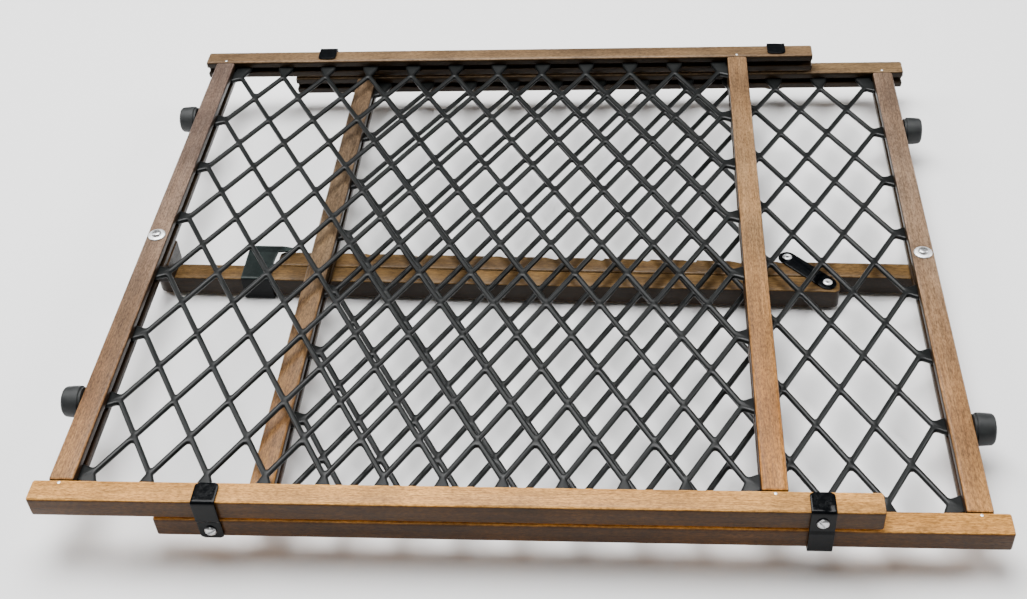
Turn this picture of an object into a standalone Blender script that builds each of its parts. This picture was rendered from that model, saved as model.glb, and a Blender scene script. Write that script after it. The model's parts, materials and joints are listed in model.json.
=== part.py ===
"""Pressure-mounted pet gate, lying flat with its lattice level.

Two equal wooden frames with plastic lattice lie one on the other and slide apart along X. Under them two
locking bars meet side by side: the strut bar turns on the front panel's outer stile, the notched bar turns
on the back panel's outer stile. A shackle on the strut bar's end holds the notched bar by its notches, and
a sliding collar holds the two bars together.

Frame: metres, +X along the rails, +Y across the gate, +Z up through both panels. The origin is at the
bottom centre of the closed gate. "Near" pieces are at -Y and "far" pieces at +Y.
"""

import math

import bmesh
import bpy
from mathutils import Euler, Matrix, Vector

MM = 0.001

# Panels
PANEL_LENGTH = 606 * MM  # a rail, end to end
PANEL_HEIGHT = 584 * MM  # over both rails
STICK = 19 * MM  # every rail and stile is this square
STICK_EDGE = 2.2 * MM  # rounding of the sticks' long edges
CLOSED_OFFSET = 89 * MM  # how far the back panel stands out to the right when closed
OUTER_STILE_INSET = 11 * MM  # rail end to the outer stile's outer edge
INNER_STILE_INSET = 64 * MM  # rail end to the inner stile's outer edge
GROOVE_WIDTH = 5.4 * MM
GROOVE_DEPTH = 6 * MM
TONGUE = 4.6 * MM  # thickness of the tongues on the stile ends
FIT = 0.3 * MM  # gap between pieces that touch

# Heights, from the surface that the gate lies on
BAR_BASE = 2.7 * MM  # the collar and the shackle reach down to the surface
LAYER_GAP = 1.2 * MM
BAR_Z = BAR_BASE + STICK / 2
BACK_Z = BAR_Z + STICK + LAYER_GAP
FRONT_Z = BACK_Z + STICK + LAYER_GAP

# Lattice
LATTICE_COLUMNS = 11
LATTICE_ROWS = 7
SIDE_MARGIN = 8 * MM  # stile face to the first column of crossings
END_MARGIN = 13.6 * MM  # rail face to the first row of crossings
STRAND_WIDTH = 4.5 * MM
LATTICE_THICKNESS = 4.4 * MM
TAB_HALF = 8 * MM
TAB_REACH = 4.5 * MM  # how far a tab goes into its groove

# Bumpers
BUMPER_RADIUS = 12.5 * MM
BUMPER_RIM = 2.6 * MM  # rounding of the outer end
BUMPER_LENGTH = 16 * MM
BUMPER_SPREAD = 187.5 * MM  # from the gate's middle line to each bumper

# Guide clips
SHEET = 1.5 * MM
CLIP_WIDTH = 17.5 * MM
CLIP_COVER = 16.5 * MM  # how far a clip reaches over or under a rail
CLIP_INSET_NEAR = 42 * MM  # from the end of the rail that the clip is screwed to
CLIP_INSET_FAR = 35 * MM
CLIP_RUNNING_GAP = 0.5 * MM

# Locking bars
BAR_WIDTH = 18.5 * MM
BAR_GAP = 0.5 * MM
BAR_PITCH = BAR_WIDTH + BAR_GAP
PIVOT_Y = 1.5 * MM
PIVOT_SPAN = PANEL_LENGTH + CLOSED_OFFSET - 2 * OUTER_STILE_INSET - STICK
BAR_ANGLE = math.asin(BAR_PITCH / PIVOT_SPAN)  # both bars slope this much, so that they lie side by side
STRUT_REACH = 586 * MM  # pivot to the strut bar's free end
NOTCHED_REACH = 556.5 * MM
NOTCH_PITCH = 40 * MM
NOTCH_COUNT = 10
NOTCH_DEPTH = 2.6 * MM
PIN_RADIUS = 2.3 * MM
PIN_GAP = 0.9 * MM  # the notched bar slides past the pin without touching it
SHACKLE_X = 575.8 * MM  # strut pivot to the shackle's rivet
SHACKLE_LEAN = 32 * MM  # the catch pin stands this far back from the rivet
SHACKLE_WIDTH = 15 * MM
PIN_Y = BAR_PITCH + BAR_WIDTH / 2 + PIN_GAP + PIN_RADIUS
COLLAR_X = 70 * MM  # strut pivot to the collar's left edge
COLLAR_WIDTH = 27 * MM
HOOD_LENGTH = 13 * MM  # the collar's raised far lip goes on this much further
SCREW_HOLE = 5.4 * MM
SCREW_SHANK = 4.8 * MM

# Colour, roughness, metallic
FINISHES = {
    "stained_wood": ((0.27, 0.175, 0.115), 0.45, 0.0),
    "charcoal_plastic": ((0.035, 0.04, 0.042), 0.35, 0.0),
    "black_rubber": ((0.025, 0.025, 0.027), 0.7, 0.0),
    "black_steel": ((0.012, 0.012, 0.014), 0.25, 0.3),
    "zinc_steel": ((0.72, 0.72, 0.7), 0.3, 1.0),
}


def collection(name):
    made = bpy.data.collections.new(name)
    bpy.context.scene.collection.children.link(made)
    return made


def material(name, finish):
    """A Principled material of one of the gate's finishes."""
    colour, roughness, metallic = FINISHES[finish]
    made = bpy.data.materials.new(name)
    made.use_nodes = True
    shader = made.node_tree.nodes["Principled BSDF"]
    shader.inputs["Base Color"].default_value = (*colour, 1)
    shader.inputs["Roughness"].default_value = roughness
    shader.inputs["Metallic"].default_value = metallic
    return made


def empty(name, location, angle=0.0, parent=None):
    """An axis or a frame that pieces hang on, turned by angle about Z."""
    made = bpy.data.objects.new(name, None)
    PARTS.objects.link(made)
    made.parent = parent
    made.location = location
    made.rotation_euler = (0, 0, angle)
    return made


def add(name, mesh, finish, parent=None, location=(0, 0, 0), rotation=(0, 0, 0)):
    """A finished piece, or a cutter when finish is None."""
    made = bpy.data.objects.new(name, mesh)
    made.parent = parent
    made.location = location
    made.rotation_euler = rotation
    if finish:
        PARTS.objects.link(made)
        mesh.materials.append(material(name, finish))
    else:
        CUTTERS.objects.link(made)
        made.hide_render = True
        made.display_type = "WIRE"
    return made


def box_mesh(name, size):
    mesh = bpy.data.meshes.new(name)
    shape = bmesh.new()
    bmesh.ops.create_cube(shape, size=1)
    bmesh.ops.scale(shape, vec=size, verts=shape.verts)
    shape.to_mesh(mesh)
    shape.free()
    return mesh


def rod_mesh(name, radius, length, sides):
    mesh = bpy.data.meshes.new(name)
    shape = bmesh.new()
    bmesh.ops.create_cone(
        shape, cap_ends=True, segments=sides, radius1=radius, radius2=radius, depth=length
    )
    shape.to_mesh(mesh)
    shape.free()
    return mesh


def turned_mesh(name, profile, sides, ring=False):
    """A profile of (radius, height) points, run down its outer side, turned about Z."""
    mesh = bpy.data.meshes.new(name)
    shape = bmesh.new()
    points = [shape.verts.new((radius, 0, height)) for radius, height in profile]
    for first, second in zip(points, points[1:]):
        shape.edges.new((first, second))
    if ring:
        shape.edges.new((points[-1], points[0]))
    shape.to_mesh(mesh)
    shape.free()
    made = add(name + "_profile", mesh, None)
    screw = made.modifiers.new("turn", "SCREW")
    screw.steps = sides
    screw.render_steps = sides
    screw.use_merge_vertices = True
    screw.merge_threshold = 0.00001
    return settled_mesh(name, made)


def settled_mesh(name, made):
    """The object's evaluated mesh with its loose seams welded. The object is removed."""
    bpy.context.view_layer.update()
    mesh = bpy.data.meshes.new_from_object(made.evaluated_get(bpy.context.evaluated_depsgraph_get()))
    mesh.name = name
    shape = bmesh.new()
    shape.from_mesh(mesh)
    bmesh.ops.remove_doubles(shape, verts=shape.verts, dist=0.00001)
    shape.to_mesh(mesh)
    shape.free()
    mesh.materials.clear()
    bpy.data.objects.remove(made)
    return mesh


def outline_mesh(name, loops, thickness):
    """Closed flat loops, the first outside and the others holes, made thickness thick about Z = 0."""
    curve = bpy.data.curves.new(name, "CURVE")
    curve.dimensions = "2D"
    curve.fill_mode = "BOTH"
    curve.extrude = thickness / 2
    for loop in loops:
        spline = curve.splines.new("POLY")
        spline.points.add(len(loop) - 1)
        for point, (x, y) in zip(spline.points, loop):
            point.co = (x, y, 0, 1)
        spline.use_cyclic_u = True
    made = bpy.data.objects.new(name + "_outline", curve)
    CUTTERS.objects.link(made)
    return settled_mesh(name, made)


def arc(centre, radius, start, end, steps):
    """Points on an arc, with the angles in degrees."""
    turns = [math.radians(start + (end - start) * n / steps) for n in range(steps + 1)]
    return [(centre[0] + radius * math.cos(a), centre[1] + radius * math.sin(a)) for a in turns]


def circle(centre, radius, sides=16):
    return arc(centre, radius, 0, 360, sides)[:-1]


def stadium(first, second, radius, steps=8):
    """The outline of a flat link round two points."""
    angle = math.degrees(math.atan2(second[1] - first[1], second[0] - first[0]))
    return arc(second, radius, angle - 90, angle + 90, steps) + arc(
        first, radius, angle + 90, angle + 270, steps
    )


def rounded_rectangle(width, height, radius, steps=2):
    points = []
    for sign_x, sign_y, start in ((1, 1, 0), (-1, 1, 90), (-1, -1, 180), (1, -1, 270)):
        corner = (sign_x * (width / 2 - radius), sign_y * (height / 2 - radius))
        points += arc(corner, radius, start, start + 90, steps)
    return points


def bent_path(corners, radius, steps=3):
    """A run of straight lines with each inner corner bent to a radius."""
    path = [Vector(corners[0])]
    for before, corner, after in zip(corners, corners[1:], corners[2:]):
        corner = Vector(corner)
        into = (corner - Vector(before)).normalized()
        out = (Vector(after) - corner).normalized()
        bend = into.angle_signed(out)
        setback = radius * math.tan(abs(bend) / 2)
        start = corner - into * setback
        side = Vector((-into.y, into.x)) * (-1 if bend > 0 else 1)
        centre = start + side * radius
        for n in range(steps + 1):
            arm = start - centre
            arm.rotate(Matrix.Rotation(-bend * n / steps, 2))
            path.append(centre + arm)
    return path + [Vector(corners[-1])]


def strip_loop(path, thickness):
    """The outline of a sheet of this thickness that follows a path down its middle."""
    sides = ([], [])
    for n, point in enumerate(path):
        into = (point - path[max(n - 1, 0)]).normalized()
        out = (path[min(n + 1, len(path) - 1)] - point).normalized()
        along = (into + out).normalized()
        across = Vector((-along.y, along.x))
        mitre = max(across.dot(Vector((-out.y, out.x))), across.dot(Vector((-into.y, into.x))))
        reach = thickness / 2 / mitre
        sides[0].append(tuple(point + across * reach))
        sides[1].append(tuple(point - across * reach))
    return sides[0] + sides[1][::-1]


def bevel(made, width, segments=2):
    rounding = made.modifiers.new("edges", "BEVEL")
    rounding.width = width
    rounding.segments = segments
    rounding.limit_method = "ANGLE"
    rounding.angle_limit = math.radians(40)


def boolean(made, cutter, operation="DIFFERENCE"):
    cut = made.modifiers.new(cutter.name, "BOOLEAN")
    cut.operation = operation
    cut.solver = "EXACT"
    cut.object = cutter


def smooth(made, angle=35):
    made.data.shade_smooth()
    made.data.set_sharp_from_angle(angle=math.radians(angle))


# Rotations that lay a flat outline, drawn in its own X and Y, across the gate
OUTLINE_YZ = Euler((math.pi / 2, 0, math.pi / 2))  # outline X to world Y, outline Y to world Z
AXIS_TO_X = Euler((0, math.pi / 2, 0))
AXIS_TO_MINUS_X = Euler((0, -math.pi / 2, 0))


def rail(name, frame, side):
    """A rail with a groove all along its inner edge. side is -1 for near and 1 for far."""
    middle = side * (PANEL_HEIGHT - STICK) / 2
    made = add(name, box_mesh(name, (PANEL_LENGTH, STICK, STICK)), "stained_wood", frame, (0, middle, 0))
    bevel(made, STICK_EDGE)
    slot = box_mesh(name, (PANEL_LENGTH * 1.1, GROOVE_DEPTH * 2, GROOVE_WIDTH))
    boolean(made, add(name + "_groove", slot, None, frame, (0, middle - side * STICK / 2, 0)))
    smooth(made)
    return made


def stile(name, frame, x, inward):
    """A stile between the rails with a tongue at each end and a groove in its inward edge."""
    clear = PANEL_HEIGHT - 2 * STICK
    body = outline_mesh(name, [rounded_rectangle(STICK, STICK, STICK_EDGE)], clear - 2 * FIT)
    made = add(name, body, "stained_wood", frame, (x, 0, 0), (math.pi / 2, 0, 0))
    tongue_size = (STICK - 4 * STICK_EDGE, clear + 2 * (GROOVE_DEPTH - FIT), TONGUE)
    boolean(made, add(name + "_tongue", box_mesh(name, tongue_size), None, frame, (x, 0, 0)), "UNION")
    slot = box_mesh(name, (GROOVE_DEPTH * 2, clear * 0.99, GROOVE_WIDTH))
    boolean(made, add(name + "_groove", slot, None, frame, (x + inward * STICK / 2, 0, 0)))
    smooth(made)
    return made


def lattice_loops(columns, rows, width, height):
    """The lattice's outer edge with its tabs, and its diamond openings."""
    pitch_x, pitch_y = width / columns, height / rows
    reach = pitch_x * pitch_y / 2 / math.hypot(pitch_x, pitch_y)  # diamond centre to a strand's middle
    open_part = 1 - STRAND_WIDTH / 2 / reach
    half_x, half_y = open_part * pitch_x / 2, open_part * pitch_y / 2

    def side(count, pitch, half_along, half_across, margin, corner):
        """One side in its own terms: distance along it, and distance out from its row of crossings."""
        points = []
        neck = pitch / 2 - half_along
        for n in range(count + 1):
            left = corner if n == 0 else TAB_HALF
            right = corner if n == count else TAB_HALF
            points += [(n * pitch - left, margin + TAB_REACH), (n * pitch + right, margin + TAB_REACH)]
            if n > 0:
                points[-2:-2] = [(n * pitch - neck, 0), (n * pitch - left, margin)]
            if n < count:
                points += [(n * pitch + right, margin), (n * pitch + neck, 0)]
                points.append(((n + 0.5) * pitch, -half_across))
        return points

    end = side(columns, pitch_x, half_x, half_y, END_MARGIN, SIDE_MARGIN - FIT)
    flank = side(rows, pitch_y, half_y, half_x, SIDE_MARGIN, TAB_HALF)
    x, y = width / 2, height / 2
    outer = [(a - x, -y - out) for a, out in end] + [(x + out, a - y) for a, out in flank]
    outer += [(x - a, y + out) for a, out in end] + [(-x - out, y - a) for a, out in flank]
    centres = [(c + 0.5, r) for c in range(columns) for r in range(1, rows)]
    centres += [(c, r + 0.5) for c in range(1, columns) for r in range(rows)]
    loops = [with_corners(outer, x, y)]
    for column, row in centres:
        cx, cy = column * pitch_x - x, row * pitch_y - y
        loops.append([(cx + half_x, cy), (cx, cy + half_y), (cx - half_x, cy), (cx, cy - half_y)])
    return loops


def with_corners(outer, x, y):
    """Adds the inner point between the two tabs that meet at each corner of the lattice."""
    inner_x, inner_y = x + SIDE_MARGIN - FIT, y + TAB_HALF
    points = []
    for here, after in zip(outer, outer[1:] + outer[:1]):
        points.append(here)
        if abs(here[0]) >= inner_x and abs(after[1]) > inner_y and abs(here[1]) <= inner_y:
            points.append((math.copysign(inner_x, here[0]), math.copysign(inner_y, here[1])))
        elif abs(here[1]) > inner_y and abs(after[0]) > inner_x and abs(after[1]) <= inner_y:
            points.append((math.copysign(inner_x, after[0]), math.copysign(inner_y, after[1])))
    return points


def brad_profile(extra):
    """Half section of a brad, or of its hole when extra is more than nothing."""
    top, head, shank, length = STICK / 2, 1.3 * MM + extra, 0.7 * MM + extra, 14 * MM
    lid = top + extra * 2 - 0.1 * MM
    neck = top - 0.7 * MM - extra
    point = top - length - extra
    return [(0, lid), (head, lid), (head, neck), (shank, neck), (shank, point), (0, point)]


def brads(prefix, frame, rails, stiles):
    """A small headed nail from the top face through each rail and the tongue in its groove."""
    nail = turned_mesh(prefix + "_brad", brad_profile(0), 8)
    hole = turned_mesh(prefix + "_brad_hole", brad_profile(FIT), 8)
    for made_rail, end, side in zip(rails, ("near", "far"), (-1, 1)):
        for made_stile, position in zip(stiles, ("outer", "inner")):
            place = (made_stile.location.x, side * (PANEL_HEIGHT / 2 - STICK + 3 * MM), 0)
            name = f"{prefix}_{end}_{position}_brad"
            smooth(add(name, nail.copy(), "zinc_steel", frame, place))
            cutter = add(name + "_hole", hole.copy(), None, frame, place)
            boolean(made_rail, cutter)
            boolean(made_stile, cutter)


def screw_profile(shank, length, head, rise):
    """Half section of a pan-head screw whose head sits on Z = 0."""
    return [
        (0, rise),
        (head * 0.62, rise * 0.93),
        (head * 0.9, rise * 0.6),
        (head, 0.1 * MM),
        (head, 0),
        (shank, 0),
        (shank, -length + shank),
        (0, -length),
    ]


def bumpers(prefix, frame, x, outward, made_stile):
    """Two turned rubber bumpers on a stile's outer edge, each held by a screw inside it."""
    seat, well = 10 * MM, 4.6 * MM
    profile = [
        (well, BUMPER_LENGTH),
        (BUMPER_RADIUS - BUMPER_RIM, BUMPER_LENGTH),
        (BUMPER_RADIUS - BUMPER_RIM * 0.3, BUMPER_LENGTH - BUMPER_RIM * 0.3),
        (BUMPER_RADIUS, BUMPER_LENGTH - BUMPER_RIM),
        (BUMPER_RADIUS, FIT),
        (SCREW_HOLE / 2, FIT),
        (SCREW_HOLE / 2, seat),
        (well, seat),
    ]
    rubber = turned_mesh(prefix + "_bumper", profile, 18, ring=True)
    screw = turned_mesh(prefix + "_bumper_screw", screw_profile(2 * MM, 24 * MM, 3.8 * MM, 2 * MM), 8)
    turn = AXIS_TO_X if outward > 0 else AXIS_TO_MINUS_X
    for place, side in (("near", -1), ("far", 1)):
        y = side * BUMPER_SPREAD
        name = f"{prefix}_{place}_bumper"
        made = add(name, rubber.copy(), "black_rubber", frame, (x, y, 0), turn)
        smooth(made)
        depth = x + outward * (seat + FIT)
        smooth(add(name + "_screw", screw.copy(), "zinc_steel", frame, (depth, y, 0), turn))
        hole = rod_mesh(name, 2.3 * MM, 36 * MM, 12)
        boolean(made_stile, add(name + "_hole", hole, None, frame, (x, y, 0), turn))


def panel(prefix, frame, outward):
    """One frame with its lattice. outward is the side, -1 or 1, that has the bumpers."""
    outer_x = outward * (PANEL_LENGTH / 2 - OUTER_STILE_INSET - STICK / 2)
    inner_x = -outward * (PANEL_LENGTH / 2 - INNER_STILE_INSET - STICK / 2)
    rails = [rail(prefix + "_near_rail", frame, -1), rail(prefix + "_far_rail", frame, 1)]
    outer = stile(prefix + "_outer_stile", frame, outer_x, -outward)
    inner = stile(prefix + "_inner_stile", frame, inner_x, outward)
    brads(prefix, frame, rails, (outer, inner))
    bumpers(prefix, frame, outer_x + outward * STICK / 2, outward, outer)
    width = abs(outer_x - inner_x) - STICK - 2 * SIDE_MARGIN
    height = PANEL_HEIGHT - 2 * STICK - 2 * END_MARGIN
    loops = lattice_loops(LATTICE_COLUMNS, LATTICE_ROWS, width, height)
    mesh = outline_mesh(prefix + "_lattice", loops, LATTICE_THICKNESS)
    add(prefix + "_lattice", mesh, "charcoal_plastic", frame, ((outer_x + inner_x) / 2, 0, 0))
    return rails, outer


def clip(name, side, x, corners):
    """A bent strip across a rail. corners are (distance out from the rails' outer face, height)."""
    loop = strip_loop(bent_path(corners, 1.4 * MM), SHEET)
    loop = [(side * (PANEL_HEIGHT / 2 + out), height) for out, height in loop]
    made = add(name, outline_mesh(name, [loop], CLIP_WIDTH), "black_steel", None, (x, 0, 0), OUTLINE_YZ)
    smooth(made)
    return made


def hooked_clip():
    """Screwed to the back rail, its top hooks over the front rail."""
    half = SHEET / 2
    top = FRONT_Z + STICK / 2 + CLIP_RUNNING_GAP + half
    step = (BACK_Z + FRONT_Z) / 2
    slack = CLIP_RUNNING_GAP + half + 0.7 * MM
    return [
        (-CLIP_COVER, top),
        (slack, top),
        (slack, step + 1.2 * MM),
        (FIT + half, step - 1.2 * MM),
        (FIT + half, BACK_Z - STICK / 2 + 0.8 * MM),
    ]


def wrapped_clip():
    """Screwed to the front rail, it wraps down and under the back rail."""
    half = SHEET / 2
    top = FRONT_Z + STICK / 2 + FIT + half
    step = (BACK_Z + FRONT_Z) / 2
    slack = CLIP_RUNNING_GAP + half + 0.7 * MM
    bottom = BACK_Z - STICK / 2 - 0.4 * MM - half
    return [
        (-CLIP_COVER, top),
        (FIT + half, top),
        (FIT + half, step + 1.2 * MM),
        (slack, step - 1.2 * MM),
        (slack, bottom),
        (-CLIP_COVER, bottom),
    ]


def clip_pair(prefix, end_x, inward, corners, height, rails):
    """A clip on each of a panel's rails, near the rails' end at end_x, with its slotted screw."""
    head, rise = 4.4 * MM, 2.4 * MM
    for place, side, inset in (("near", -1, CLIP_INSET_NEAR), ("far", 1, CLIP_INSET_FAR)):
        x = end_x + inward * inset
        made = clip(f"{prefix}_{place}_clip", side, x, corners)
        seat = (x, side * (PANEL_HEIGHT / 2 + FIT + SHEET + 0.05 * MM), height)
        turn = Euler((-side * math.pi / 2, 0, 0))
        name = f"{prefix}_{place}_clip_screw"
        screw_mesh = turned_mesh(name, screw_profile(1.8 * MM, 15 * MM, head, rise), 12)
        screw = add(name, screw_mesh, "zinc_steel", None, seat, turn)
        slot = box_mesh(name, (head * 2.4, 1.2 * MM, 2 * MM))
        slot_turn = Euler((-side * math.pi / 2, side * math.radians(35), 0))
        slot_seat = (x, seat[1] + side * rise, height)
        boolean(screw, add(name + "_slot", slot, None, None, slot_seat, slot_turn))
        smooth(screw)
        hole = add(name + "_hole", rod_mesh(name, 2.2 * MM, 34 * MM, 12), None, None, seat, turn)
        boolean(made, hole)
        boolean(rails[0 if side < 0 else 1], hole)


def pivot(prefix, axis, stile_z, made_stile, bored):
    """A pivot screw down through a stile and a bar, with a washer on the stile and a nut in the bar."""
    washer, washer_radius, nut_height, nut_radius = 1.2 * MM, 7.6 * MM, 5 * MM, 4.6 * MM
    top = stile_z + STICK / 2 - BAR_Z
    below = -STICK / 2 + 1.2 * MM
    base, lid, bore = top + FIT, top + FIT + washer, SCREW_HOLE / 2
    profile = [
        (bore, lid),
        (washer_radius * 0.8, lid),
        (washer_radius, lid - washer * 0.6),
        (washer_radius, base),
        (bore, base),
    ]
    washer_mesh = turned_mesh(prefix + "_pivot_washer", profile, 18, ring=True)
    smooth(add(prefix + "_pivot_washer", washer_mesh, "zinc_steel", axis))
    seat = top + 2 * FIT + washer
    screw_mesh = turned_mesh(
        prefix + "_pivot_screw", screw_profile(SCREW_SHANK / 2, seat - below, 4.2 * MM, 2 * MM), 12
    )
    screw = add(prefix + "_pivot_screw", screw_mesh, "zinc_steel", axis, (0, 0, seat))
    for n, turn in enumerate((0.3, 0.3 + math.pi / 2)):
        slot = box_mesh(prefix, (4.6 * MM, 1 * MM, 2 * MM))
        name = f"{prefix}_pivot_cross_{n}"
        boolean(screw, add(name, slot, None, axis, (0, 0, seat + 2.2 * MM), (0, 0, turn)))
    smooth(screw)
    ring = [circle((0, 0), nut_radius, 6), circle((0, 0), SCREW_HOLE / 2)]
    nut_z = -STICK / 2 + 0.6 * MM + nut_height / 2
    add(prefix + "_pivot_nut", outline_mesh(prefix, ring, nut_height), "zinc_steel", axis, (0, 0, nut_z))
    through = 4 * (stile_z + STICK)
    hole = add(prefix + "_pivot_hole", rod_mesh(prefix, SCREW_HOLE / 2, through, 16), None, axis)
    for made in (made_stile, *bored):
        boolean(made, hole)
    recess = rod_mesh(prefix, nut_radius + 1.2 * MM, 2 * (nut_height + 1.2 * MM), 16)
    return add(prefix + "_nut_recess", recess, None, axis, (0, 0, -STICK / 2))


def strut_bar(axis):
    """The plain bar, from its round pivot end to its blunt free end."""
    half, nose = BAR_WIDTH / 2, 5 * MM
    outline = arc((0, 0), half, 90, 270, 10)
    outline += arc((STRUT_REACH - nose, -half + nose), nose, -90, 0, 3)
    outline += arc((STRUT_REACH - nose, half - nose), nose, 0, 90, 3)
    loops = [outline, circle((SHACKLE_X, 0), SCREW_HOLE / 2)]
    made = add("strut_bar", outline_mesh("strut_bar", loops, STICK), "stained_wood", axis)
    bevel(made, 1.1 * MM, 1)
    return made


def notched_bar(axis, first_notch):
    """The bar with a row of ratchet notches along its far edge. It runs to -X from its pivot."""
    half, nose, seat = BAR_WIDTH / 2, 5 * MM, PIN_RADIUS + 0.3 * MM
    outline = arc((0, 0), half, -90, 90, 10)
    outline += arc((-NOTCHED_REACH + nose, half - nose), nose, 90, 180, 3)
    outline += arc((-NOTCHED_REACH + nose, -half + nose), nose, 180, 270, 3)
    made = add("notched_bar", outline_mesh("notched_bar", [outline], STICK), "stained_wood", axis)
    bevel(made, 1.1 * MM, 1)
    notches = []
    for n in range(NOTCH_COUNT):
        x, floor = first_notch - n * NOTCH_PITCH, half - NOTCH_DEPTH
        ramp = (x - 3.4 * seat, half)
        seat_arc = arc((x, floor + seat), seat, -90, 0, 3)
        notches.append([*seat_arc, (x + seat, half + seat), (ramp[0] - seat, half + seat), ramp])
    cutter = outline_mesh("notches", notches, 2 * STICK)
    boolean(made, add("notches", cutter, None, axis))
    return made


def latch_collar(axis):
    """A bent strip round the strut bar whose flared mouth takes the notched bar's free end from the far side.

    Past the strip's right edge only its raised far lip goes on, as a hood over the notched bar.
    """
    half, clearance, below = SHEET / 2, 0.5 * MM, -30 * MM
    near = -BAR_WIDTH / 2 - clearance - half
    mouth = BAR_PITCH + BAR_WIDTH / 2 + 1.2 * MM + half
    low = half - BAR_Z
    shoulder, ridge, ridge_width = STICK / 2 + 0.8 * MM + half, STICK / 2 + 3.6 * MM + half, 9 * MM
    corners = [
        (mouth, STICK / 2 + clearance),
        (mouth, ridge),
        (mouth - ridge_width, ridge),
        (near, shoulder),
        (near, low),
        (mouth, low),
    ]
    length = COLLAR_WIDTH + HOOD_LENGTH
    strip = outline_mesh("latch_collar", [strip_loop(bent_path(corners, 1.2 * MM), SHEET)], length)
    made = add("latch_collar", strip, "black_steel", axis, (COLLAR_X + length / 2, 0, 0), OUTLINE_YZ)
    hood_edge, past = mouth - ridge_width - 1 * MM, HOOD_LENGTH * 2
    window = [(0, below), (past, below), (past, hood_edge), (2 * MM, hood_edge)]
    cutter = outline_mesh("collar_window", [window], 3 * STICK)
    boolean(made, add("collar_window", cutter, None, axis, (COLLAR_X + COLLAR_WIDTH, 0, 0)))
    under_cut = box_mesh("collar_under_cut", (HOOD_LENGTH * 2, 4 * BAR_WIDTH, STICK / 2))
    place = (COLLAR_X + COLLAR_WIDTH + HOOD_LENGTH, BAR_PITCH, low)
    boolean(made, add("collar_under_cut", under_cut, None, axis, place))
    smooth(made)


def rivet_profile(reach):
    """Half section of a tubular rivet through plates that lie up to reach either side of Z = 0."""
    shank, head, rise, bore = PIN_RADIUS, 4 * MM, 1.2 * MM, 1.3 * MM
    return [
        (0, reach - 2 * MM),
        (bore, reach - 2 * MM),
        (bore, reach + rise * 0.8),
        (head * 0.6, reach + rise),
        (head, reach + rise * 0.3),
        (head, reach),
        (shank, reach),
        (shank, -reach),
        (head, -reach),
        (head * 0.8, -BAR_Z),
        (0, -BAR_Z),
    ]


def shackle(axis):
    """Two plates over and under the bars, a rivet through the strut bar and a pin behind the notched bar."""
    pin, plate = (-SHACKLE_LEAN, PIN_Y), 1.2 * MM
    level = STICK / 2 + FIT + plate / 2
    holes = [circle(centre, PIN_RADIUS + FIT, 12) for centre in (pin, (0, 0))]
    loops = [stadium(pin, (0, 0), SHACKLE_WIDTH / 2), *holes]
    for name, sign in (("shackle_top_plate", 1), ("shackle_bottom_plate", -1)):
        made = add(name, outline_mesh(name, loops, plate), "black_steel", axis, (0, 0, sign * level))
        smooth(made)
    reach = STICK / 2 + plate + 2 * FIT
    for name, place in (("shackle_rivet", (0, 0, 0)), ("catch_pin", (*pin, 0))):
        mesh = turned_mesh(name, rivet_profile(reach), 12)
        smooth(add(name, mesh, "zinc_steel", axis, place))


def build():
    front_x = -CLOSED_OFFSET / 2
    back_x = CLOSED_OFFSET / 2
    front = empty("front_panel_frame", (front_x, 0, FRONT_Z))
    back = empty("back_panel_frame", (back_x, 0, BACK_Z))
    front_rails, front_stile = panel("front", front, -1)
    back_rails, back_stile = panel("back", back, 1)
    clip_pair("left", back_x - PANEL_LENGTH / 2, 1, hooked_clip(), BACK_Z, back_rails)
    clip_pair("right", front_x + PANEL_LENGTH / 2, -1, wrapped_clip(), FRONT_Z, front_rails)

    left_axis = empty("left_pivot_axis", (-PIVOT_SPAN / 2, PIVOT_Y, BAR_Z), -BAR_ANGLE)
    right_axis = empty("right_pivot_axis", (PIVOT_SPAN / 2, PIVOT_Y, BAR_Z), -BAR_ANGLE)
    shackle_axis = empty("shackle_axis", (SHACKLE_X, 0, 0), 0, left_axis)
    strut = strut_bar(left_axis)
    span = PIVOT_SPAN * math.cos(BAR_ANGLE)
    notched = notched_bar(right_axis, SHACKLE_X - SHACKLE_LEAN - span)
    spacer_height = FRONT_Z - BAR_Z - STICK - 2 * FIT
    spacer_z = (FRONT_Z - BAR_Z) / 2
    spacer_mesh = box_mesh("pivot_spacer", (STICK, 34 * MM, spacer_height))
    spacer = add("pivot_spacer", spacer_mesh, "stained_wood", left_axis, (0, 0, spacer_z), (0, 0, BAR_ANGLE))
    bevel(spacer, 1 * MM, 1)
    boolean(strut, pivot("left", left_axis, FRONT_Z, front_stile, (spacer, strut)))
    boolean(notched, pivot("right", right_axis, BACK_Z, back_stile, (notched,)))
    for made in (strut, notched, spacer):
        smooth(made)
    latch_collar(left_axis)
    shackle(shackle_axis)


for old in list(bpy.data.objects):
    bpy.data.objects.remove(old, do_unlink=True)
PARTS = collection("pet_gate")
CUTTERS = collection("cutters")
build()
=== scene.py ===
"""Looks for the pressure-mounted pet gate: stained wood, moulded lattice, black enamel, zinc and rubber.

Lengths are in metres, in the CAD model's frame. Sizes and places come from the CAD nodes' boxes.
"""

import json
import math

import bmesh
import bpy
from mathutils import Euler, Matrix, Vector


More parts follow.
